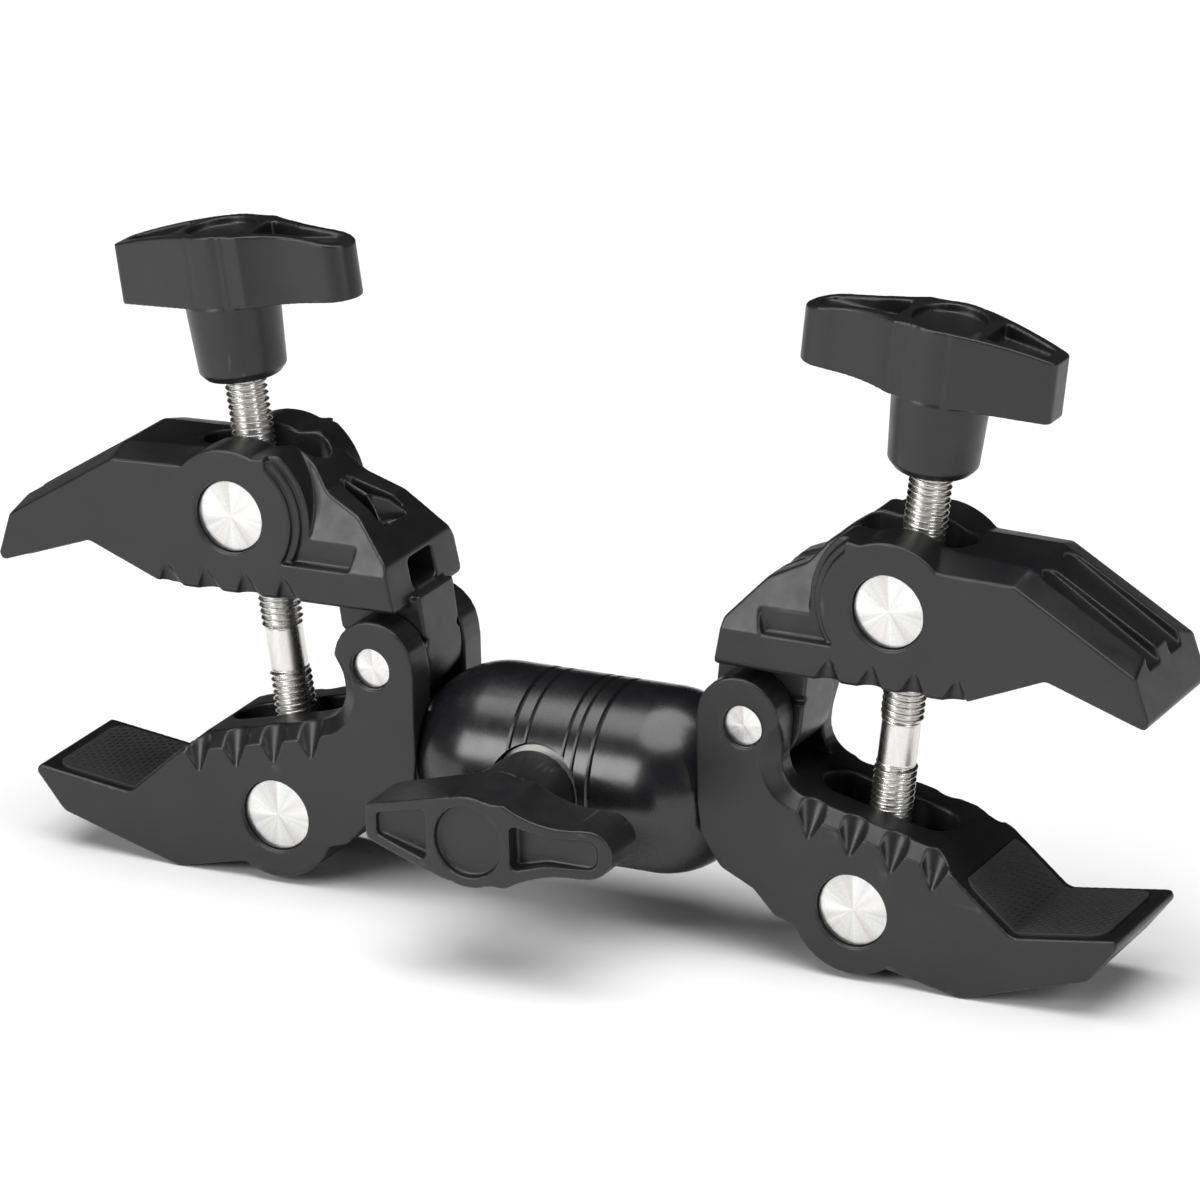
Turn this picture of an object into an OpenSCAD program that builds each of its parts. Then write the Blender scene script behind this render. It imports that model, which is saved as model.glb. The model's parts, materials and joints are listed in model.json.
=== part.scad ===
// Double super clamp: two screw-driven jaw clamps on the ends of a locking ball arm.
//
// World frame: X runs along the arm, the lock knob points to -Y, and Z is up.  The origin is
// at the bottom centre of the bounding box, on the surface that the lower jaws stand on.
// Each clamp is drawn in its own frame: the lower barrel nut is at the origin, +X runs to
// the jaw tips and +Z through the upper barrel nut.

/* [Jaws] */
// Width of every jaw
jaw_w = 27.4; // [26.8:0.2:28.4]
// Distance between the two barrel nuts along the clamp screw
nut_gap = 58.8; // [58.4:0.1:59.2]
// Distance from the clamp screw back to the hinge pin
hinge_back = 25.4; // [25.2:0.1:25.6]
// Diameter of the hinge pins
hinge_pin_d = 8; // [7:0.5:8.5]
// Diameter of the barrel nuts
nut_d = 14; // [13:0.5:14.5]
// Width of the tongue that fills the gap between the two ears
tongue_w = 13.4; // [12.5:0.1:13.6]
// Thickness of the rubber pads
pad_t = 1.6; // [1.2:0.2:2]

/* [Clamp screws] */
// Outside diameter of the screws
screw_d = 8; // [7:0.5:8.5]
// Diameter of the plain middle between the right-hand and left-hand threads
screw_middle_d = 7.2; // [6:0.2:7.2]
// How far each screw reaches below its lower barrel nut's axis
screw_below = 11.4; // [11:0.1:11.8]
// Height of the knob's hub above the lower barrel nut's axis
knob_at = 82.6; // [80:0.2:86]

/* [Knobs] */
// Reach of the pointed wing
point_reach = 22.2; // [21:0.2:24]
// Reach of the round wing
round_reach = 27.4; // [26:0.2:27.6]
// Thickness of the wings at the middle
wing_t = 14; // [12:0.5:16]
// Total height of a knob
knob_h = 28.7; // [26:0.1:32]

/* [Arm] */
// Outside diameter of the arm and of its domed ends
arm_d = 35; // [34.6:0.2:35.2]
// Distance from the arm's middle to each ball
ball_x = 16.5; // [16.3:0.1:16.7]
// Diameter of the balls
ball_d = 17; // [16.6:0.1:17]
// Half the length of the middle body
body_half = 8.4; // [8:0.1:8.8]
// Sideways offset of the lock knob from the arm's middle
lock_x = -2.8; // [-3:0.1:-2.6]

/* [Stance] */
// Distance from the arm's middle to each lower barrel nut
clamp_x = 59.5; // [59.2:0.1:60.5]
// Outward lean of each clamp
lean = 7.4; // [7:0.1:7.6]
// Height of the arm's axis above the lower barrel nuts
arm_above = 14.4; // [14.2:0.1:15]

/* [Hidden] */
$fn = 64;

paint = [0.06, 0.06, 0.065];
rubber = [0.035, 0.035, 0.037];
plastic = [0.045, 0.045, 0.05];
steel = [0.78, 0.77, 0.74];
nylon = [0.85, 0.85, 0.82];

fit = 0.05;          // radial clearance of the running fits
eps = 0.02;          // lets cutting tools run past a face
big = 200;           // size of the half-space tools
half_w = jaw_w / 2;
hinge_z = nut_gap / 2;
nut_recess = 1.2;    // how far the nuts and pins lie below the jaw's side faces
ear_gap = tongue_w + 0.6;

// Lower jaw outline: [x, z, corner radius], anticlockwise from the tip
flat_rise = 0.11;
flat_z = 17.2;
ear_front = -18;
ear_rear = -34.4;
ear_top = 38.7;
ear_r = (ear_front - ear_rear) / 2 - eps;
v_corner = [31.3, 4.1];
ramp_top = [14.1, flat_z - flat_rise * 14.1];
lower_tip = [50.7, 9.3];
lower_outline = [
    [lower_tip[0], lower_tip[1], 0.8], [v_corner[0], v_corner[1], 3],
    [ramp_top[0], ramp_top[1], 0.8], [ear_front, flat_z - flat_rise * ear_front, 6.5],
    [ear_front, ear_top, ear_r], [ear_rear, ear_top, ear_r], [ear_rear, 28, 0],
    [-32.3, 12, 0], [-31, 6.5, 3], [-26.5, 1.2, 3], [-19.5, -1.2, 4], [-14.8, -5.2, 2],
    [-9, -6.2, 0], [-4, -9, 0], [9.3, -9.3, 3], [23, -10.6, 2], [46.7, 0, 3], [51.5, 8, 0.8],
];
lower_boss_r = 12.2;

// Upper jaw outline, in the same form, from the rear bottom corner
under_rise = 0.116;
under_z = 43.6;
upper_v = [31.4, 54.3];
upper_ramp = [15.5, under_z + under_rise * 15.5];
upper_tip = [51, 50.2];
upper_outline = [
    [-32.3, under_z - under_rise * 32.3, 0.6], [upper_ramp[0], upper_ramp[1], 2],
    [upper_v[0], upper_v[1], 2], [upper_tip[0], upper_tip[1], 0.8], [51.7, 51.6, 0.5],
    [47, 61.6, 1], [23.6, 72, 3], [9.5, 70.8, 3], [0, 70, 0], [-11.4, 70.2, 3.5],
    [-15.8, 66.2, 3.5], [-18.6, 61.8, 4], [-25.4, 57.6, 3], [-31.6, 49.2, 2],
];
upper_boss_r = 13.2;
crease_rise = 7.3;   // height of the rear crease above the underside
ring_in = 1.1;       // how far the ring beside the boss lies below the side face
ring_steps = [14.6, 16];

thumb_fn = 48;
ball_r = ball_d / 2;
liner_gap = 0.2;
liner_t = 0.8;
seat_r = ball_r + 2 * liner_gap + liner_t;
dome_r = arm_d / 2;
neck_r = 4;
stud_r = 3.2;
saddle_r = dome_r + 0.6;
spigot_r = 13;
spigot_l = 4;
edge_cut = 0.5;      // bevel on both sides of each joint line of the arm
lock_stud_r = 4;
lock_stud_in = 18;   // how far the lock stud goes into its knob
hub_seat_r = 9.3;
plunger_r = 9.3;
hub_seat = 13.8;     // distance from the arm's axis to the flat that the lock knob bears on
washer_t = 0.8;
lock_gap = 0.1;
lock_reach = hub_seat + washer_t + lock_gap + knob_h;
back_y = (lock_reach - dome_r) / 2;

function unit(v) = v / norm(v);

// Arc points that round corner b between its neighbours a and c; b[2] is the radius
function corner(a, b, c, n) =
    let (p = [b[0], b[1]],
         u = unit([a[0], a[1]] - p),
         v = unit([c[0], c[1]] - p),
         half = acos(u * v) / 2,
         centre = p + unit(u + v) * b[2] / sin(half),
         first = p + u * b[2] / tan(half) - centre,
         last = p + v * b[2] / tan(half) - centre,
         start = atan2(first[1], first[0]),
         turn = (atan2(last[1], last[0]) - start + 540) % 360 - 180)
    [for (k = [0 : n]) centre + b[2] * [cos(start + turn * k / n), sin(start + turn * k / n)]];

// Polygon points of an outline whose corners are [x, y, radius]
function rounded(p, n = 6) =
    [for (i = [0 : len(p) - 1])
        each (p[i][2] == 0
            ? [[p[i][0], p[i][1]]]
            : corner(p[(i + len(p) - 1) % len(p)], p[i], p[(i + 1) % len(p)], n))];

lower_points = rounded(lower_outline);
disc_z = -min([for (p = lower_points) p[1] * cos(lean) - p[0] * sin(lean)]);
arm_z = disc_z + arm_above;

// Ball centre in a clamp's own frame
ball_in_clamp = [
    (ball_x - clamp_x) * cos(lean) - arm_above * sin(lean),
    (ball_x - clamp_x) * sin(lean) + arm_above * cos(lean),
];

// Extrudes a flat X-Z outline from y0 to y1
module slab(y0, y1) translate([0, y1, 0]) rotate([90, 0, 0]) linear_extrude(y1 - y0) children();

// Round bar along Y at (x, z), centred on y = 0
module bar_y(x, z, r, length)
    translate([x, 0, z]) rotate([90, 0, 0]) cylinder(h = length, r = r, center = true);

// Round bar along X from x0 to x1
module bar_x(x0, x1, r) translate([x0, 0, 0]) rotate([0, 90, 0]) cylinder(h = x1 - x0, r = r);

// Both mirror images of a child about the middle plane of a jaw
module both_sides() {
    children();
    mirror([0, 1, 0]) children();
}

// Puts a clamp's own frame in its place: side is 1 for the right clamp and -1 for the left
module at_clamp(side)
    translate([0, back_y, 0]) rotate([0, 0, 90 - 90 * side])
        translate([clamp_x, 0, disc_z]) rotate([0, lean, 0]) children();

// Puts a frame on the arm's axis at a ball, with +X pointing out of the arm
module at_ball(side)
    translate([0, back_y, arm_z]) rotate([0, 0, 90 - 90 * side])
        translate([ball_x, 0, 0]) children();

// Puts a frame on the arm's middle, with +X along the arm
module at_arm() translate([0, back_y, arm_z]) children();

// Stadium-shaped bar along Z from x0 to x1, wide across Y
module long_slot(x0, x1, wide, z0, z1)
    translate([0, 0, z0]) linear_extrude(z1 - z0) {
        translate([x0 + wide / 2, 0]) circle(d = wide);
        translate([x1 - wide / 2, 0]) circle(d = wide);
        translate([x0 + wide / 2, -wide / 2]) square([x1 - x0 - wide, wide]);
    }

// ---- Jaws ----

notch_step = 8.3;
lower_notch = [-9.9, 10.7];
upper_notch = [-9.9, 48.2];

// Row of four conical notches on a side face: rise is the slope of the row of tips
module notches(first, rise, up)
    for (i = [0 : 3])
        translate([first[0] + notch_step * i, half_w + 0.3, first[1] + rise * notch_step * i])
            rotate([up > 0 ? 0 : 180, 0, 0]) cylinder(h = 10, r1 = 0, r2 = 4.8, $fn = 40);

// Bevel tool along an edge that starts at (x, z) and falls by slope towards the tip
module edge_bevel(x, z, length, slope, width, drop)
    both_sides()
        translate([x, half_w - width, z]) rotate([0, atan(slope), 0])
            rotate([-atan2(drop, width), 0, 0]) translate([0, -10, 0]) cube([length, 40, 20]);

// Rubber pad bent over a corner: p, q and r are its ends and its corner, s is +1 for a pad
// that faces up and -1 for one that faces down
function normal(a, b, s) = s * unit([a[1] - b[1], b[0] - a[0]]);
module pad(p, q, r, s) {
    n1 = normal(p, q, s);
    n2 = normal(q, r, s);
    mitre = unit(n1 + n2) / cos(acos(n1 * n2) / 2);
    over = 0.4;
    under = pad_t - over;
    intersection() {
        slab(-half_w + 1.9, half_w - 1.9)
            polygon([p + n1 * over, q + mitre * over, r + n2 * over,
                r - n2 * under, q - mitre * under, p - n1 * under]);
        translate([0, 0, -20]) linear_extrude(120)
            polygon(rounded([[p[0] - 0.4, -half_w + 2, 3], [r[0] - 0.2, -half_w + 2, 3],
                [r[0] - 0.2, half_w - 2, 3], [p[0] - 0.4, half_w - 2, 3]]));
    }
}

module lower_pad_shape() pad([20.3, 11.44], v_corner, [48.3, 8.66], 1);
module upper_pad_shape() pad([19.6, 47.7], upper_v, [48.6, 50.7], -1);

// Frame on the ball's centre with +X out of the arm, inside a clamp's own frame
module ball_frame()
    translate([ball_in_clamp[0], 0, ball_in_clamp[1]]) rotate([0, -lean, 0]) children();

module lower_jaw(side) color(paint) at_clamp(side) difference() {
    union() {
        slab(-half_w, half_w) polygon(lower_points);
        bar_y(0, 0, lower_boss_r, jaw_w);
    }
    // sloping edges beside the flat top, which fade into the ears
    edge_bevel(-11.4, flat_z + flat_rise * 11.4, 31, flat_rise, 2.7, 2.8);
    both_sides() translate([-11.9, half_w, 25.4]) rotate([90, 0, 0])
        cylinder(h = 2.7, r1 = 9.4, r2 = 6.5);
    // flanks behind the boss lean in below the crease
    both_sides() difference() {
        translate([-34, half_w, 12.3]) rotate([0, 5.5, 0]) rotate([7, 0, 0])
            translate([-6, 0, -30]) cube([27.2, 10, 30]);
        bar_y(0, 0, lower_boss_r + 0.2, big);
    }
    // gap between the ears, for the tongue
    slab(-ear_gap / 2, ear_gap / 2)
        polygon([[-45, hinge_z - 9.6], [-12.4, hinge_z - 9.6], [-12.4, 60], [-45, 60]]);
    bar_y(-hinge_back, hinge_z, hinge_pin_d / 2, big);
    bar_y(0, 0, nut_d / 2 + fit, big);
    long_slot(-13.4, 13, 9.6, -20, 30);
    both_sides() notches(lower_notch, -0.12, 1);
    lower_pad_shape();
    // saddle for the arm's domed end, and the seat of the ball stud
    ball_frame() {
        sphere(r = saddle_r, $fn = 96);
        bar_x(0, saddle_r + 0.5, neck_r);
        bar_x(0, saddle_r + 9.8, stud_r);
    }
}

// Frame on the crease of the upper jaw's rear, with +Z up its side face
module above_crease() translate([-40, half_w, under_z - 40 * under_rise + crease_rise])
    rotate([0, -atan(under_rise), 0]) children();

// Tapered pocket in the upper jaw's rear deck, around three ribs
module deck_pocket() difference() {
    polygon(rounded([[-18, -1.9, 0.6], [-27.6, -5.3, 1], [-27.6, 5.3, 1], [-18, 1.9, 0.6]]));
    for (a = [0, 137, 223])
        translate([-22.4, 0]) rotate(a) translate([0, -0.35]) square([9, 0.7]);
}

// Outline of the tongue between the ears
module tongue_outline() {
    translate([-hinge_back, hinge_z]) circle(r = 8.8);
    translate([-hinge_back - 8.8, hinge_z]) square([17.6, 12]);
}

module upper_jaw(side) color(paint) at_clamp(side) difference() {
    union() {
        difference() {
            slab(-half_w, half_w) polygon(rounded(upper_outline));
            // top falls away to both sides in front of the boss
            edge_bevel(0, 69.7, 60, -0.0977, 6.5, 1.7);
            edge_bevel(23.6, 72, 60, 0.443, 6.5, 1.7);
            // flanks behind the boss lean in from a crease
            both_sides() difference() {
                above_crease() rotate([25, 0, 0]) translate([0, 0, -1]) cube([36, 20, 40]);
                bar_y(0, nut_gap, ring_steps[1], big);
            }
            // stepped ring that curves down behind the boss
            for (k = [0, 1])
                both_sides() intersection() {
                    above_crease() translate([0, -(k + 1) * ring_in, 0]) cube([33, 20, 40]);
                    difference() {
                        bar_y(0, nut_gap, ring_steps[k] + (k == 1 ? 10 : 0), big);
                        bar_y(0, nut_gap, k == 0 ? upper_boss_r : ring_steps[0], big);
                    }
                }
        }
        bar_y(0, nut_gap, upper_boss_r, jaw_w);
        slab(-tongue_w / 2, tongue_w / 2) tongue_outline();
    }
    // undercut edge of the side faces
    both_sides() translate([-50, half_w - 1, under_z - 50 * under_rise])
        rotate([0, -atan(under_rise), 0]) rotate([45, 0, 0])
            translate([0, -10, -10]) cube([66, 30, 10]);
    bar_y(-hinge_back, hinge_z, hinge_pin_d / 2 + fit, big);
    bar_y(0, nut_gap, nut_d / 2 + fit, big);
    long_slot(-15.2, 10.2, 9, 30, 90);
    both_sides() notches(upper_notch, 0.116, -1);
    upper_pad_shape();
    translate([0, 0, 53.2]) linear_extrude(30) deck_pocket();
    translate([-25.6, 0, 47]) cylinder(h = 20, r = 1.5);
    // rounded window in the rear end
    translate([-24.5, 0, 45.2]) rotate([0, -90, 0]) linear_extrude(20)
        polygon(rounded([[-3, -4.6, 1.2], [3, -4.6, 1.2], [3, 4.6, 1.2], [-3, 4.6, 1.2]]));
    // two long tapered grooves that run out at the tip
    for (y = [-4.9, 4.9])
        translate([25.5, y, 71.8]) rotate([0, 23.9, 0]) rotate([0, 2.6, 0])
            long_slot(0, 40, 5, -1.3, 12);
}

module lower_pad(side) color(rubber) at_clamp(side) lower_pad_shape();
module upper_pad(side) color(rubber) at_clamp(side) upper_pad_shape();

module hinge_pin(side) color(steel) at_clamp(side)
    bar_y(-hinge_back, hinge_z, hinge_pin_d / 2, jaw_w - 2 * nut_recess);

// Barrel nut with its cross bore for the screw
module barrel_nut(z) difference() {
    bar_y(0, z, nut_d / 2, jaw_w - 2 * nut_recess);
    translate([0, 0, z - nut_d]) cylinder(h = 2 * nut_d, r = screw_d / 2 + fit);
}

module lower_nut(side) color(steel) at_clamp(side) barrel_nut(0);
module upper_nut(side) color(steel) at_clamp(side) barrel_nut(nut_gap);

// ---- Clamp screws and knobs ----

clip_z = -screw_below + 1;
clip_t = 0.8;
clip_r = 4.5;
groove_r = 3.2;
middle_half = 3.9;
screw_top = knob_at + 20;

module clamp_screw(side) color(steel) at_clamp(side) difference() {
    union() {
        translate([0, 0, -screw_below]) cylinder(h = 0.6, r1 = screw_d / 2 - 0.6, r2 = screw_d / 2);
        translate([0, 0, -screw_below + 0.6])
            cylinder(h = hinge_z - middle_half + screw_below - 0.6, d = screw_d);
        translate([0, 0, hinge_z - middle_half]) cylinder(h = 2 * middle_half, d = screw_middle_d);
        translate([0, 0, hinge_z + middle_half])
            cylinder(h = screw_top - hinge_z - middle_half, d = screw_d);
    }
    translate([0, 0, clip_z - clip_t / 2 - lock_gap]) difference() {
        cylinder(h = clip_t + 2 * lock_gap, r = screw_d);
        translate([0, 0, -1]) cylinder(h = 4, r = groove_r);
    }
}

module stop_clip(side) color(steel) at_clamp(side)
    translate([0, 0, clip_z - clip_t / 2]) difference() {
        cylinder(h = clip_t, r = clip_r);
        translate([0, 0, -1]) cylinder(h = 4, r = groove_r + fit);
    }

wing_hub_r = 8.8;
crown_r = 100;

// Knob outline seen along its axis, with the pointed wing towards +X
module knob_outline() {
    circle(r = wing_hub_r);
    polygon(rounded([[-4, -8.2, 0], [4, -8.2, 0], [point_reach, -3.4, 1.6],
        [point_reach, 3.4, 1.6], [4, 8.2, 0], [-4, 8.2, 0]]));
    difference() {
        union() {
            translate([-round_reach + 4.7, 0]) circle(r = 4.7);
            translate([-round_reach + 4.7, -8]) square([round_reach - 4.7, 16]);
        }
        for (s = [-1, 1])
            translate([-round_reach + 8.2, s * 26.7]) circle(r = 22.1, $fn = 128);
        for (s = [-1, 1])
            translate([-round_reach - 1, s * 4.7 - (s < 0 ? 6 : 0)]) square([7, 6]);
    }
}

// Knob with its hub's end at z = 0 and its axis along Z
module knob_shape() difference() {
    union() {
        cylinder(h = 1.5, r1 = 7, r2 = 8.3, $fn = thumb_fn);
        translate([0, 0, 1.5]) cylinder(h = knob_h - wing_t - 1.5, r1 = 8.3, r2 = 9, $fn = thumb_fn);
        intersection() {
            translate([0, 0, knob_h - wing_t]) linear_extrude(wing_t) knob_outline();
            translate([0, 0, knob_h - crown_r]) rotate([90, 0, 0])
                cylinder(h = 60, r = crown_r, center = true, $fn = 360);
        }
    }
    // dished recesses in the top
    translate([0, 0, knob_h - 1.6]) cylinder(h = 4, r = 6.8);
    translate([0, 0, knob_h - 3.2]) linear_extrude(6)
        polygon(rounded([[8.7, -5, 1], [19.6, -2, 1], [19.6, 2, 1], [8.7, 5, 1]]));
    translate([0, 0, knob_h - 3.6]) linear_extrude(6)
        polygon(rounded([[-8.4, -4.4, 1], [-8.4, 4.4, 1], [-15, 2.7, 8], [-24.8, 2.7, 2],
            [-24.8, -2.7, 2], [-15, -2.7, 8]]));
}

module screw_knob(side) color(plastic) at_clamp(side) translate([0, 0, knob_at]) difference() {
    knob_shape();
    translate([0, 0, -eps]) cylinder(h = screw_top - knob_at + eps, d = screw_d);
}

// ---- Ball joints ----

module ball_stud(side) color(steel) {
    at_ball(side) sphere(d = ball_d, $fn = 96);
    at_ball(side) bar_x(ball_r - 2, saddle_r + 0.5, neck_r);
    at_ball(side) bar_x(saddle_r + 0.4, saddle_r + 9, stud_r);
}

// Thin spherical liner around the ball, between two angles off the +X axis
module liner(a0, a1, steps = 10)
    rotate([0, 90, 0]) rotate_extrude() polygon(concat(
        [for (k = [0 : steps]) liner_point(ball_r + liner_gap, a0 + (a1 - a0) * k / steps)],
        [for (k = [steps : -1 : 0])
            liner_point(ball_r + liner_gap + liner_t, a0 + (a1 - a0) * k / steps)]));
function liner_point(r, a) = [r * sin(a), r * cos(a)];

module ball_ring(side) color(nylon) at_ball(side) liner(46, 74);
module ball_cup(side) color(nylon) at_ball(side) liner(122, 180);

// Domed socket whose spigot sits in the middle body and which holds the ball
module socket(side) color(paint) difference() {
    at_ball(side) difference() {
        union() {
            sphere(r = dome_r, $fn = 128);
            bar_x(body_half - ball_x + edge_cut, 0, dome_r);
            translate([body_half - ball_x, 0, 0]) rotate([0, 90, 0])
                cylinder(h = edge_cut, r1 = dome_r - edge_cut, r2 = dome_r);
            bar_x(body_half - ball_x - spigot_l, 0, spigot_r);
        }
        translate([-ball_x - big + body_half, 0, 0]) difference() {
            translate([0, -big / 2, -big / 2]) cube([big, big, big]);
            bar_x(-1, big + 1, spigot_r);
        }
        translate([-ball_x - big + body_half - spigot_l, -big / 2, -big / 2])
            cube([big, big, big]);
        sphere(r = seat_r, $fn = 96);
        bar_x(body_half - ball_x - spigot_l - 1, -seat_r * 0.5, plunger_r + fit);
        // conical mouth that lets the neck tilt
        translate([7, 0, 0]) rotate([0, 90, 0]) cylinder(h = 12, r1 = 6.7, r2 = 12.4);
    }
    at_arm() lock_hole();
}

// ---- Arm body and its lock ----

wedge_r = 2;
plunger_play = 0.6;  // room around the stud's straight part, for the plungers to move in
wedge_tip = 0;       // how far past the arm's axis the wedge reaches
wedge_back = -5;     // where the wedge meets the stud's thread

// Fine ring groove around the arm at x
module ring_groove(x, deep) translate([x, 0, 0]) rotate([0, 90, 0]) rotate_extrude()
    polygon([[dome_r - deep, 0], [dome_r + 1, deep + 1], [dome_r + 1, -deep - 1]]);

// Seat and threaded hole of the lock knob
module lock_hole() translate([lock_x, 0, 0]) rotate([90, 0, 0]) {
    translate([0, 0, hub_seat]) cylinder(h = 20, r = hub_seat_r);
    cylinder(h = 20, r = lock_stud_r + fit);
}

module arm_body() color(paint) at_arm() difference() {
    union() {
        bar_x(-body_half + edge_cut, body_half - edge_cut, dome_r);
        for (s = [0, 180])
            rotate([0, 0, s]) translate([body_half - edge_cut, 0, 0]) rotate([0, 90, 0])
            cylinder(h = edge_cut, r1 = dome_r, r2 = dome_r - edge_cut);
    }
    bar_x(-big / 2, big / 2, plunger_r + fit);
    for (s = [0, 180]) rotate([0, 0, s]) bar_x(body_half - spigot_l, big, spigot_r);
    for (x = [-5.3, 2.7, 4.9]) ring_groove(x, 0.4);
    lock_hole();
}

// Wedge-shaped clearance that both plungers leave for the lock stud's tip
module wedge(r_add) rotate([90, 0, 0]) translate([0, 0, -wedge_tip])
    cylinder(h = wedge_tip - wedge_back, r1 = wedge_r + r_add, r2 = lock_stud_r + r_add);

module plunger(side) color(steel) at_arm() difference() {
    rotate([0, 0, 90 - 90 * side]) difference() {
        bar_x(side * lock_x + 0.6, ball_x - 5.6, plunger_r);
        translate([ball_x, 0, 0]) sphere(r = seat_r, $fn = 96);
    }
    translate([lock_x, 0, 0]) {
        wedge(fit);
        rotate([90, 0, 0]) translate([0, 0, -wedge_back - eps])
            cylinder(h = 10, r = lock_stud_r + plunger_play);
    }
}

module lock_washer() color(nylon) at_arm() translate([lock_x, -hub_seat, 0]) rotate([90, 0, 0])
    difference() {
        cylinder(h = washer_t, r = 8.8);
        translate([0, 0, -1]) cylinder(h = 4, r = lock_stud_r + fit);
    }

module lock_stud() color(steel) at_arm() translate([lock_x, 0, 0]) {
    wedge(0);
    rotate([90, 0, 0]) translate([0, 0, -wedge_back])
        cylinder(h = lock_reach - knob_h + lock_stud_in + wedge_back, r = lock_stud_r);
}

module lock_knob() color(plastic) at_arm() translate([lock_x, -lock_reach + knob_h, 0])
    rotate([90, 0, 0]) rotate([0, 0, 180]) difference() {
        knob_shape();
        translate([0, 0, -eps]) cylinder(h = lock_stud_in + eps, r = lock_stud_r);
    }

lower_jaw(1);  // right_lower_jaw
upper_jaw(1);  // right_upper_jaw
lower_pad(1);  // right_lower_pad
upper_pad(1);  // right_upper_pad
hinge_pin(1);  // right_hinge_pin
lower_nut(1);  // right_lower_nut
upper_nut(1);  // right_upper_nut
clamp_screw(1);  // right_clamp_screw
screw_knob(1);  // right_screw_knob
stop_clip(1);  // right_stop_clip
ball_stud(1);  // right_ball_stud
ball_ring(1);  // right_ball_ring
ball_cup(1);  // right_ball_cup
lower_jaw(-1);  // left_lower_jaw
upper_jaw(-1);  // left_upper_jaw
lower_pad(-1);  // left_lower_pad
upper_pad(-1);  // left_upper_pad
hinge_pin(-1);  // left_hinge_pin
lower_nut(-1);  // left_lower_nut
upper_nut(-1);  // left_upper_nut
clamp_screw(-1);  // left_clamp_screw
screw_knob(-1);  // left_screw_knob
stop_clip(-1);  // left_stop_clip
ball_stud(-1);  // left_ball_stud
ball_ring(-1);  // left_ball_ring
ball_cup(-1);  // left_ball_cup
arm_body();
socket(1);  // right_socket
socket(-1);  // left_socket
plunger(1);  // right_plunger
plunger(-1);  // left_plunger
lock_washer();
lock_stud();
lock_knob();
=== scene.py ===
import json
import math

import bmesh
import bpy
from mathutils import Matrix, Vector


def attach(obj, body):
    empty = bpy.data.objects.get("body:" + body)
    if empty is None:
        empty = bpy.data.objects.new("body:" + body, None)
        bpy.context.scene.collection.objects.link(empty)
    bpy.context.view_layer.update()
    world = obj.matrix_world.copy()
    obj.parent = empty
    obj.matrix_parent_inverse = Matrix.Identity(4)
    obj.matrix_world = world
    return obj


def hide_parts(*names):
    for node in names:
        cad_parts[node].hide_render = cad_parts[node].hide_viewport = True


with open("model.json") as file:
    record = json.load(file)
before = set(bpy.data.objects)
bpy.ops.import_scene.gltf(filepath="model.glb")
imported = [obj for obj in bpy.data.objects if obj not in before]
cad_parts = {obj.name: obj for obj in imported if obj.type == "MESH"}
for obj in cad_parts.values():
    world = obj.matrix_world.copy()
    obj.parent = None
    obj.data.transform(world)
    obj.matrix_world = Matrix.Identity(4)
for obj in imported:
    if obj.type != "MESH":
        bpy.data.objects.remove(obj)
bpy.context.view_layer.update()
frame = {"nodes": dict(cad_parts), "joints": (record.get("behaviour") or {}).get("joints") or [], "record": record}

MM = 0.001
NODES = frame["nodes"]
JOINTS = {j["name"]: j for j in frame["joints"]}
SIDES = {"right": 1, "left": -1}

# ---- Camera, fitted to the photographed view ----

CAMERA_RIGHT = Vector((0.893996, 0.447574, -0.021188))
CAMERA_DOWN = Vector((0.131993, -0.308246, -0.942105))
CAMERA_AHEAD = Vector((-0.428193, 0.839442, -0.334647))
CAMERA_AT = Vector((553.37, -1065.65, 490.88)) * MM
CAMERA_LENS = 210
CAMERA_SENSOR = 36


def make_camera():
    data = bpy.data.cameras.new("camera")
    data.lens = CAMERA_LENS
    data.sensor_width = CAMERA_SENSOR
    data.clip_start = 0.01
    data.clip_end = 20
    camera = bpy.data.objects.new("camera", data)
    bpy.context.scene.collection.objects.link(camera)
    axes = Matrix((CAMERA_RIGHT, -CAMERA_DOWN, -CAMERA_AHEAD)).transposed()
    camera.matrix_world = Matrix.Translation(CAMERA_AT) @ axes.to_4x4()
    bpy.context.scene.camera = camera


make_camera()

# ---- Frames of the two clamps ----
# A clamp's own frame has its origin at the lower nut, +Z up the screw and +X to the jaw tips.


def clamp_frame(name):
    origin = Vector(JOINTS[name + "_lower_nut_turn"]["pos_m"])
    up = Vector(JOINTS[name + "_screw_travel"]["axis"]).normalized()
    across = Vector((0, SIDES[name], 0))
    ahead = across.cross(up)
    return Matrix.Translation(origin) @ Matrix((ahead, across, up)).transposed().to_4x4()


CLAMP = {name: clamp_frame(name) for name in SIDES}

# ---- Materials ----


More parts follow.
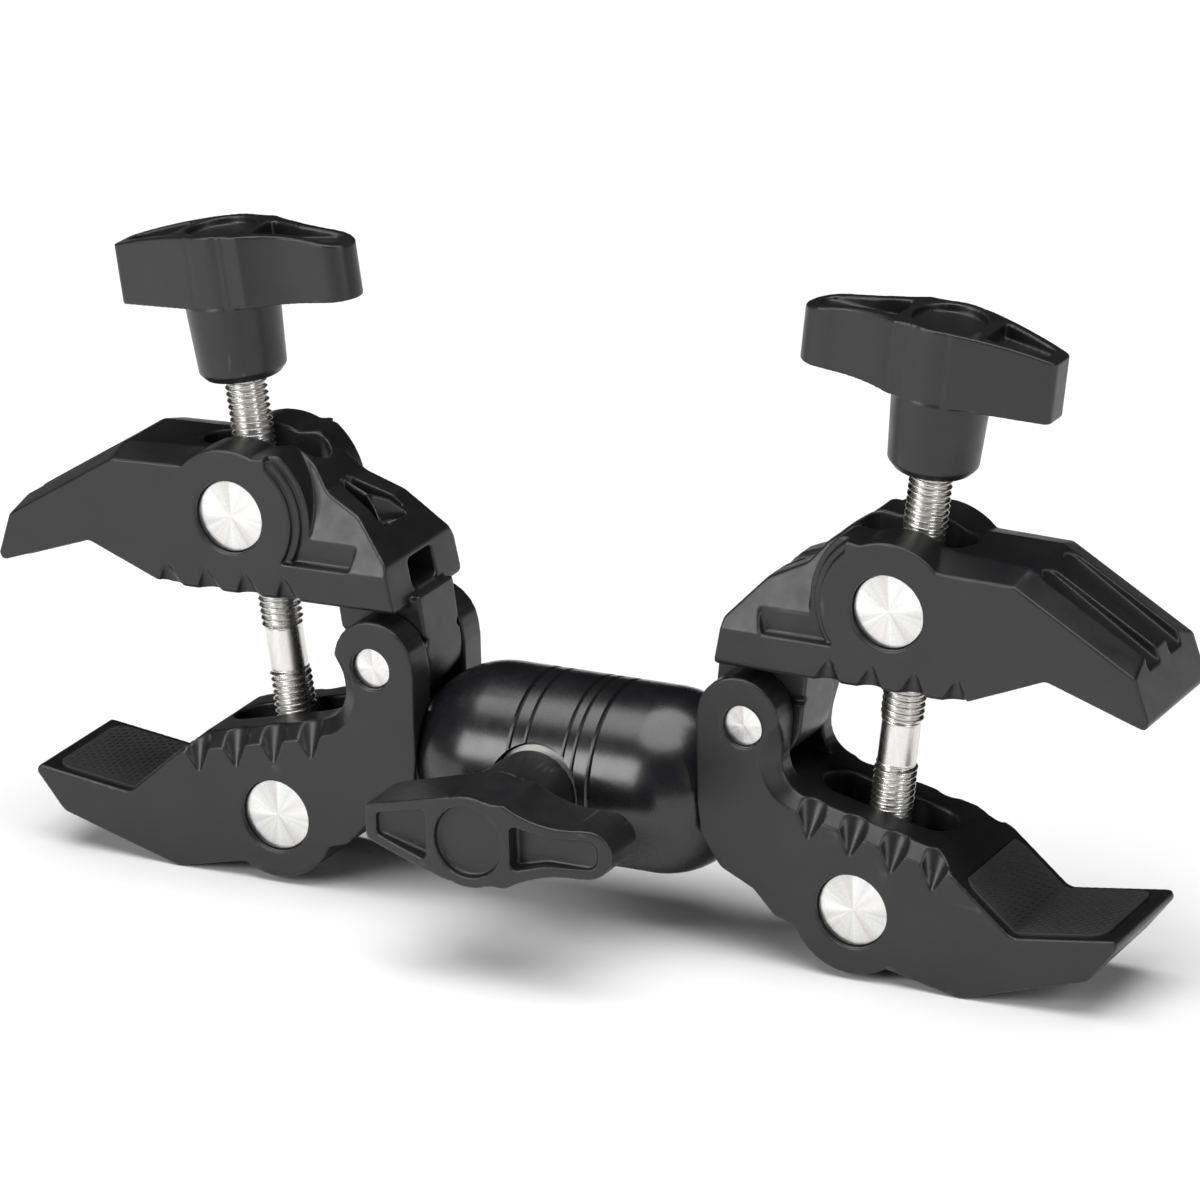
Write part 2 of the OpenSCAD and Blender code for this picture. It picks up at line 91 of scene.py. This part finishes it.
class Nodes:
    """A material's node tree, with short ways to add to it."""

    def __init__(self, name):
        self.material = bpy.data.materials.new(name)
        self.material.use_nodes = True
        self.tree = self.material.node_tree
        self.shader = self.tree.nodes["Principled BSDF"]
        self.place = self.add("ShaderNodeTexCoord").outputs["Object"]

    def add(self, kind, **settings):
        node = self.tree.nodes.new(kind)
        for key, value in settings.items():
            setattr(node, key, value)
        return node

    def link(self, source, target):
        self.tree.links.new(source, target)

    def noise(self, scale, detail=3, rough=0.5, stretch=None):
        node = self.add("ShaderNodeTexNoise")
        node.inputs["Scale"].default_value = scale
        node.inputs["Detail"].default_value = detail
        node.inputs["Roughness"].default_value = rough
        place = self.place
        if stretch:
            mapping = self.add("ShaderNodeMapping")
            mapping.inputs["Scale"].default_value = stretch
            self.link(place, mapping.inputs["Vector"])
            place = mapping.outputs["Vector"]
        self.link(place, node.inputs["Vector"])
        return node.outputs["Fac"]

    def remap(self, source, low, high, start=0.3, end=0.7):
        node = self.add("ShaderNodeMapRange")
        node.inputs["From Min"].default_value = start
        node.inputs["From Max"].default_value = end
        node.inputs["To Min"].default_value = low
        node.inputs["To Max"].default_value = high
        self.link(source, node.inputs["Value"])
        return node.outputs["Result"]

    def math(self, operation, a, b):
        node = self.add("ShaderNodeMath", operation=operation)
        for socket, value in zip(node.inputs, (a, b)):
            if isinstance(value, (int, float)):
                socket.default_value = value
            else:
                self.link(value, socket)
        return node.outputs[0]

    def blend(self, factor, dark, light):
        node = self.add("ShaderNodeMix", data_type="RGBA")
        low, high = [s for s in node.inputs if s.type == "RGBA"]
        low.default_value = (*dark, 1)
        high.default_value = (*light, 1)
        self.link(factor, node.inputs[0])
        return [o for o in node.outputs if o.type == "RGBA"][0]

    def bump(self, height, strength, distance):
        node = self.add("ShaderNodeBump")
        node.inputs["Strength"].default_value = strength
        node.inputs["Distance"].default_value = distance
        self.link(height, node.inputs["Height"])
        self.link(node.outputs["Normal"], self.shader.inputs["Normal"])


def coated(name, dark, light, rough, grain, depth, edge_highlight_colour=None, coat=0.0):
    """Paint, plastic or rubber: fine grain and slow variation in gloss, with a painted highlight on the edges if
    that colour is given.
    """
    n = Nodes(name)
    base = n.blend(n.remap(n.noise(90, 4), 0, 1), dark, light)
    # Painted highlight: the edges are coloured lighter, standing in for the light that rounded edges catch.
    if edge_highlight_colour:
        edge = n.remap(n.add("ShaderNodeNewGeometry").outputs["Pointiness"], 0, 1, 0.515, 0.6)
        mix = n.add("ShaderNodeMix", data_type="RGBA")
        n.link(edge, mix.inputs[0])
        colours = [s for s in mix.inputs if s.type == "RGBA"]
        n.link(base, colours[0])
        colours[1].default_value = (*edge_highlight_colour, 1)
        base = [o for o in mix.outputs if o.type == "RGBA"][0]
    n.link(base, n.shader.inputs["Base Color"])
    n.link(n.remap(n.noise(260, 5, 0.6), *rough), n.shader.inputs["Roughness"])
    n.bump(n.noise(grain, 3, 0.6), 0.35, depth)
    n.shader.inputs["Coat Weight"].default_value = coat
    n.shader.inputs["Coat Roughness"].default_value = 0.18
    return n.material


def metal(name, colour, shade, rough, scale, stretch, depth):
    """Bare steel with fine marks drawn out along one direction."""
    n = Nodes(name)
    marks = n.noise(scale, 4, 0.6, stretch)
    n.link(n.blend(n.remap(marks, 0, 1), shade, colour), n.shader.inputs["Base Color"])
    n.link(n.remap(marks, *rough), n.shader.inputs["Roughness"])
    n.shader.inputs["Metallic"].default_value = 1
    n.bump(marks, 0.2, depth)
    return n.material


def turned_steel(name, centre):
    """Faced end of a pin or nut: fine rings about the axis through centre, along Y, in roughness and bump, and a
    painted sheen of lighter and darker wedges around that axis in the colour.
    """
    n = Nodes(name)
    shift = n.add("ShaderNodeVectorMath", operation="SUBTRACT")
    n.link(n.place, shift.inputs[0])
    shift.inputs[1].default_value = centre
    parts = n.add("ShaderNodeSeparateXYZ")
    n.link(shift.outputs[0], parts.inputs[0])
    x, z = parts.outputs["X"], parts.outputs["Z"]
    radius = n.math("SQRT", n.math("ADD", n.math("MULTIPLY", x, x), n.math("MULTIPLY", z, z)), 0)
    angle = n.math("ARCTAN2", x, z)
    rings = n.add("ShaderNodeTexNoise", noise_dimensions="1D")
    rings.inputs["Scale"].default_value = 9000
    n.link(radius, rings.inputs["W"])
    # Painted sheen: broad lighter and darker wedges around the axis, coloured in, standing in for the radial
    # reflection of a turned face.
    painted_sheen_rays = n.add("ShaderNodeTexNoise", noise_dimensions="1D")
    painted_sheen_rays.inputs["Scale"].default_value = 2.2
    painted_sheen_rays.inputs["Detail"].default_value = 5
    n.link(angle, painted_sheen_rays.inputs["W"])
    # The painted sheen sets the colour between the darker and the lighter steel.
    colour = n.blend(n.remap(painted_sheen_rays.outputs["Fac"], 0, 1), (0.60, 0.59, 0.57), (0.86, 0.86, 0.85))
    n.link(colour, n.shader.inputs["Base Color"])
    n.link(n.remap(rings.outputs["Fac"], 0.24, 0.40), n.shader.inputs["Roughness"])
    n.shader.inputs["Metallic"].default_value = 1
    n.shader.inputs["Anisotropic"].default_value = 0.75
    tangent = n.add("ShaderNodeTangent", direction_type="RADIAL", axis="Y")
    n.link(tangent.outputs["Tangent"], n.shader.inputs["Tangent"])
    n.bump(rings.outputs["Fac"], 0.25, 0.00001)
    return n.material


# The last colour given to the jaw paint and to the knob plastic is a painted highlight along their edges.
JAW_PAINT = coated(
    "jaw_paint", (0.008, 0.008, 0.009), (0.012, 0.012, 0.013), (0.32, 0.42), 5200, 0.00002,
    (0.032, 0.032, 0.034),
)
ARM_PAINT = coated(
    "arm_paint", (0.006, 0.006, 0.007), (0.009, 0.009, 0.010), (0.22, 0.30), 7000, 0.000006, None, 0.2
)
# Its last colour is a painted highlight along the edges.
KNOB_PLASTIC = coated(
    "knob_plastic", (0.008, 0.008, 0.009), (0.012, 0.012, 0.013), (0.33, 0.42), 6000, 0.00002,
    (0.03, 0.03, 0.032),
)
PAD_RUBBER = coated(
    "pad_rubber", (0.020, 0.020, 0.021), (0.029, 0.029, 0.030), (0.62, 0.78), 4200, 0.00005
)
SCREW_STEEL = metal(
    "screw_steel", (0.80, 0.79, 0.77), (0.66, 0.65, 0.62), (0.24, 0.34), 900, (1, 1, 0.2), 0.000006
)
PIN_STEEL = metal(
    "pin_steel", (0.74, 0.73, 0.71), (0.56, 0.55, 0.53), (0.24, 0.36), 700, (1, 0.1, 1), 0.000006
)
LINER_NYLON = coated(
    "liner_nylon", (0.70, 0.70, 0.67), (0.78, 0.78, 0.75), (0.42, 0.52), 3000, 0.00001
)

# ---- Building pieces ----

HELD = {n: b for b, members in frame["record"]["behaviour"]["bodies"].items() for n in members}


def new_object(name, mesh):
    piece = bpy.data.objects.new(name, mesh)
    bpy.context.scene.collection.objects.link(piece)
    return piece


def settle(piece):
    """Applies all of a piece's modifiers to its mesh."""
    bpy.context.view_layer.update()
    shape = piece.evaluated_get(bpy.context.evaluated_depsgraph_get())
    mesh = bpy.data.meshes.new_from_object(shape)
    piece.modifiers.clear()
    piece.data = mesh
    return piece


def finish_piece(piece, node, material, stands=True):
    """Gives a piece its material and the body of the CAD node that it belongs to, and hides that node if the piece
    stands in for it.
    """
    piece.data.materials.clear()
    piece.data.materials.append(material)
    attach(piece, HELD[node])
    if stands:
        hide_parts(node)
    return piece


def rounded_copy(node, name, material, voxel, passes, faces):
    """A copy of a CAD node with every edge softly rounded, as a casting or moulding has them."""
    piece = new_object(name, NODES[node].data.copy())
    weld = piece.modifiers.new("weld", "WELD")
    weld.merge_threshold = 1e-6
    remesh = piece.modifiers.new("remesh", "REMESH")
    remesh.mode = "VOXEL"
    remesh.voxel_size = voxel
    smooth = piece.modifiers.new("smooth", "SMOOTH")
    smooth.factor = 0.5
    smooth.iterations = passes
    settle(piece)
    thin = piece.modifiers.new("thin", "DECIMATE")
    thin.ratio = min(1, faces / (2 * len(piece.data.polygons)))
    settle(piece)
    piece.data.shade_smooth()
    return finish_piece(piece, node, material)


def bevelled_copy(node, name, material, width, segments=3, sharp=35):
    """A copy of a CAD node with its sharp edges bevelled, as a machined part has them."""
    piece = new_object(name, NODES[node].data.copy())
    mesh = bmesh.new()
    mesh.from_mesh(piece.data)
    bmesh.ops.remove_doubles(mesh, verts=mesh.verts, dist=1e-6)
    limit = math.radians(sharp)
    edges = [e for e in mesh.edges if e.is_manifold and e.calc_face_angle(0) > limit]
    bmesh.ops.bevel(
        mesh, geom=edges, offset=width, offset_type="OFFSET", segments=segments, profile=0.5,
        affect="EDGES", clamp_overlap=False,
    )
    piece.data = bpy.data.meshes.new(name)
    mesh.to_mesh(piece.data)
    mesh.free()
    piece.data.shade_smooth()
    piece.data.set_sharp_from_angle(angle=math.radians(30))
    return finish_piece(piece, node, material)


def grid_mesh(name, rows):
    """A mesh through rows of points, each row a ring, with one face closing each end."""
    mesh = bmesh.new()
    rings = [[mesh.verts.new(p) for p in row] for row in rows]
    count = len(rows[0])
    for low, high in zip(rings, rings[1:]):
        for k in range(count):
            m = (k + 1) % count
            mesh.faces.new((low[k], low[m], high[m], high[k]))
    mesh.faces.new(list(reversed(rings[0])))
    mesh.faces.new(rings[-1])
    data = bpy.data.meshes.new(name)
    mesh.to_mesh(data)
    mesh.free()
    return data


# ---- Clamp screws, in mm along a clamp's own axes ----

SCREW_R = 4.0
ROOT_R = 3.32
MIDDLE_R = 3.6
PITCH = 1.25
SCREW_END = -11.4
CLIP_LOW, CLIP_HIGH, GROOVE_R = -10.95, -9.85, 3.2
MIDDLE_LOW, MIDDLE_HIGH = 25.5, 33.3
KNOB_AT = 82.6
SCREW_TOP = KNOB_AT + 14
ROW_STEP = PITCH / 12
SCREW_COLUMNS = 56
CREST, ROOT = 0.12, 0.16
THREAD_FADE = 0.9
END_BEVEL, END_BEVEL_LENGTH = 0.7, 0.35
SHANK_R = SCREW_R - 0.1
STEP_LENGTH = 0.01


def thread_radius(phase):
    """Radius of a thread with a narrow flat crest and root, from 0 to 1 along one pitch."""
    away = abs(phase - 0.5) * 2
    share = min(1, max(0, (away - CREST) / (1 - CREST - ROOT)))
    return SCREW_R - (SCREW_R - ROOT_R) * share


def screw_radius(z, turn):
    if z < MIDDLE_LOW:
        start, end, hand = CLIP_HIGH, MIDDLE_LOW, -1
    else:
        start, end, hand = MIDDLE_HIGH, SCREW_TOP, 1
    if not start < z < end:
        return MIDDLE_R
    phase = (z / PITCH + hand * turn / math.tau) % 1
    fade = min(1, (z - start) / THREAD_FADE, (end - z) / THREAD_FADE)
    return MIDDLE_R + (thread_radius(phase) - MIDDLE_R) * max(0, fade)


def screw_mesh():
    rows = []
    turns = [math.tau * k / SCREW_COLUMNS for k in range(SCREW_COLUMNS)]

    def ring(radius, height):
        rows.append([(radius(t) * math.cos(t), radius(t) * math.sin(t), height) for t in turns])

    ring(lambda t: SCREW_R - END_BEVEL, SCREW_END)
    ring(lambda t: SHANK_R, SCREW_END + END_BEVEL_LENGTH)
    ring(lambda t: SHANK_R, CLIP_LOW)
    ring(lambda t: GROOVE_R, CLIP_LOW + STEP_LENGTH)
    ring(lambda t: GROOVE_R, CLIP_HIGH - STEP_LENGTH)
    z = CLIP_HIGH
    while z <= SCREW_TOP:
        ring(lambda t: screw_radius(z, t), z)
        z += ROW_STEP
    return grid_mesh("screw", [[tuple(c * MM for c in p) for p in row] for row in rows])


SCREW_MESH = screw_mesh()

# ---- Grip pattern of the rubber pads ----

HALF_PAD = 11.7
PAD_PROUD = 0.4
PAD_ENDS = {
    "lower": ((20.3, 11.44), (31.3, 4.1), (48.3, 8.66), 1),
    "upper": ((19.6, 47.7), (31.4, 54.3), (48.6, 50.7), -1),
}
MARK_LENGTH, MARK_WIDTH, MARK_HEIGHT = 1.5, 0.62, 0.2
MARK_ALONG, MARK_ACROSS = 1.05, 2.1
PAD_MARGIN = 1.3


def grip_mesh(which):
    """Rows of small slanted ridges on both legs of a pad, in the clamp's own frame."""
    first, corner, last, facing = PAD_ENDS[which]
    mesh = bmesh.new()
    for a, b in ((first, corner), (corner, last)):
        a, b = Vector(a), Vector(b)
        run = (b - a).normalized()
        normal = Vector((-run.y, run.x)) * facing
        length = (b - a).length
        steps = int((length - 2 * PAD_MARGIN) / MARK_ALONG)
        for i in range(steps + 1):
            along = PAD_MARGIN + i * MARK_ALONG
            across = -HALF_PAD + PAD_MARGIN + (i % 2) * MARK_ACROSS / 2
            while across < HALF_PAD - PAD_MARGIN:
                add_mark(mesh, a + run * along + normal * PAD_PROUD, run, normal, across)
                across += MARK_ACROSS
    data = bpy.data.meshes.new(which + "_grip")
    mesh.to_mesh(data)
    mesh.free()
    return data


def add_mark(mesh, base, run, normal, across):
    """One ridge: a curved, slanted bar that falls away to both ends."""
    sections = []
    for k in range(5):
        t = k / 4 - 0.5
        lift = MARK_HEIGHT * (1 - (2 * t) ** 2) + 0.01
        wide = MARK_WIDTH * (0.35 + 0.65 * (1 - (2 * t) ** 2))
        bend = 0.9 * t + 0.5 * t * t
        ring = []
        for s, h in ((-0.5, -0.05), (-0.22, lift), (0.22, lift), (0.5, -0.05)):
            at = base + run * (bend * 0.8 + s * wide) + normal * h
            ring.append(mesh.verts.new((at.x * MM, (across + t * MARK_LENGTH) * MM, at.y * MM)))
        sections.append(ring)
    for low, high in zip(sections, sections[1:]):
        for k in range(4):
            m = (k + 1) % 4
            mesh.faces.new((low[k], low[m], high[m], high[k]))
    mesh.faces.new(list(reversed(sections[0])))
    mesh.faces.new(sections[-1])


GRIP_MESH = {which: grip_mesh(which) for which in PAD_ENDS}

# ---- The two clamps ----

JAW_VOXEL, JAW_PASSES, JAW_FACES = 0.22 * MM, 16, 120000
KNOB_VOXEL, KNOB_PASSES, KNOB_FACES = 0.2 * MM, 14, 70000
PAD_VOXEL, PAD_PASSES, PAD_FACES = 0.16 * MM, 3, 24000

for side in SIDES:
    for which in ("lower", "upper"):
        node = f"{side}_{which}_jaw"
        rounded_copy(node, node + "_casting", JAW_PAINT, JAW_VOXEL, JAW_PASSES, JAW_FACES)
        node = f"{side}_{which}_pad"
        rounded_copy(node, node + "_rubber", PAD_RUBBER, PAD_VOXEL, PAD_PASSES, PAD_FACES)
        grip = new_object(f"{side}_{which}_pad_grip", GRIP_MESH[which].copy())
        grip.data.transform(CLAMP[side])
        finish_piece(grip, node, PAD_RUBBER, stands=False)
        node = f"{side}_{which}_nut"
        centre = Vector(JOINTS[f"{side}_{which}_nut_turn"]["pos_m"])
        bevelled_copy(node, node + "_turned", turned_steel(node + "_steel", centre), 0.3 * MM)
    node = f"{side}_hinge_pin"
    centre = Vector(JOINTS[f"{side}_jaw_hinge"]["pos_m"])
    bevelled_copy(node, node + "_turned", turned_steel(node + "_steel", centre), 0.3 * MM)
    node = f"{side}_clamp_screw"
    screw = new_object(node + "_threaded", SCREW_MESH.copy())
    screw.data.transform(CLAMP[side])
    screw.data.shade_smooth()
    screw.data.set_sharp_from_angle(angle=math.radians(50))
    finish_piece(screw, node, SCREW_STEEL)
    node = f"{side}_screw_knob"
    rounded_copy(node, node + "_moulding", KNOB_PLASTIC, KNOB_VOXEL, KNOB_PASSES, KNOB_FACES)

rounded_copy("lock_knob", "lock_knob_moulding", KNOB_PLASTIC, KNOB_VOXEL, KNOB_PASSES, KNOB_FACES)

# ---- CAD nodes that are shown as they are ----

KEPT = {
    "arm_body": ARM_PAINT, "right_socket": ARM_PAINT, "left_socket": ARM_PAINT,
    "right_plunger": PIN_STEEL, "left_plunger": PIN_STEEL, "lock_stud": SCREW_STEEL,
    "lock_washer": LINER_NYLON,
}
for side in SIDES:
    KEPT[side + "_stop_clip"] = SCREW_STEEL
    KEPT[side + "_ball_stud"] = PIN_STEEL
    KEPT[side + "_ball_ring"] = LINER_NYLON
    KEPT[side + "_ball_cup"] = LINER_NYLON
for node, material in KEPT.items():
    for slot in NODES[node].material_slots:
        slot.material = material

# ---- Floor and light ----

FLOOR_HALF = 3.0


def make_floor():
    mesh = bmesh.new()
    corners = [(-1, -1), (1, -1), (1, 1), (-1, 1)]
    mesh.faces.new([mesh.verts.new((x * FLOOR_HALF, y * FLOOR_HALF, 0)) for x, y in corners])
    data = bpy.data.meshes.new("floor")
    mesh.to_mesh(data)
    mesh.free()
    floor = new_object("floor", data)
    n = Nodes("floor")
    n.link(
        n.blend(n.remap(n.noise(3), 0, 1), (0.86, 0.86, 0.86), (0.88, 0.88, 0.88)),
        n.shader.inputs["Base Color"],
    )
    n.shader.inputs["Roughness"].default_value = 0.8
    data.materials.append(n.material)


def make_light(name, at, aim, size, power):
    data = bpy.data.lights.new(name, "AREA")
    data.shape = "RECTANGLE"
    data.size, data.size_y = size
    data.energy = power
    lamp = bpy.data.objects.new(name, data)
    bpy.context.scene.collection.objects.link(lamp)
    lamp.location = at
    lamp.rotation_euler = (Vector(aim) - Vector(at)).to_track_quat("-Z", "Y").to_euler()


def make_sun(name, aim, strength, angle):
    data = bpy.data.lights.new(name, "SUN")
    data.energy = strength
    data.angle = math.radians(angle)
    lamp = bpy.data.objects.new(name, data)
    bpy.context.scene.collection.objects.link(lamp)
    lamp.rotation_euler = Vector(aim).to_track_quat("-Z", "Y").to_euler()


def make_world(dark, bright, towards):
    """A dim studio that brightens in one direction, so that only faces turned there catch light."""
    world = bpy.data.worlds.new("studio")
    bpy.context.scene.world = world
    world.use_nodes = True
    tree = world.node_tree
    place = tree.nodes.new("ShaderNodeTexCoord")
    dot = tree.nodes.new("ShaderNodeVectorMath")
    dot.operation = "DOT_PRODUCT"
    dot.inputs[1].default_value = Vector(towards).normalized()
    tree.links.new(place.outputs["Generated"], dot.inputs[0])
    level = tree.nodes.new("ShaderNodeMapRange")
    level.interpolation_type = "SMOOTHSTEP"
    level.inputs["From Min"].default_value = -0.1
    level.inputs["From Max"].default_value = 0.95
    level.inputs["To Min"].default_value = dark
    level.inputs["To Max"].default_value = bright
    tree.links.new(dot.outputs["Value"], level.inputs["Value"])
    tree.links.new(level.outputs["Result"], tree.nodes["Background"].inputs["Strength"])


LIT_POINT = (0, 0, 0.05)
SUN_STRENGTH, SUN_ANGLE = 3.4, 60
DIM, BRIGHT = 0.07, 1.0

make_floor()
make_sun("overhead", (0, 0.1, -1), SUN_STRENGTH, SUN_ANGLE)
make_light("key", (-0.6, -1.1, 0.55), LIT_POINT, (0.6, 0.6), 9)
make_light("fill", (0.95, -0.35, 0.45), LIT_POINT, (0.25, 0.6), 3)
make_world(DIM, BRIGHT, (-0.35, -0.85, 0.3))
bpy.context.scene.view_settings.view_transform = "Standard"
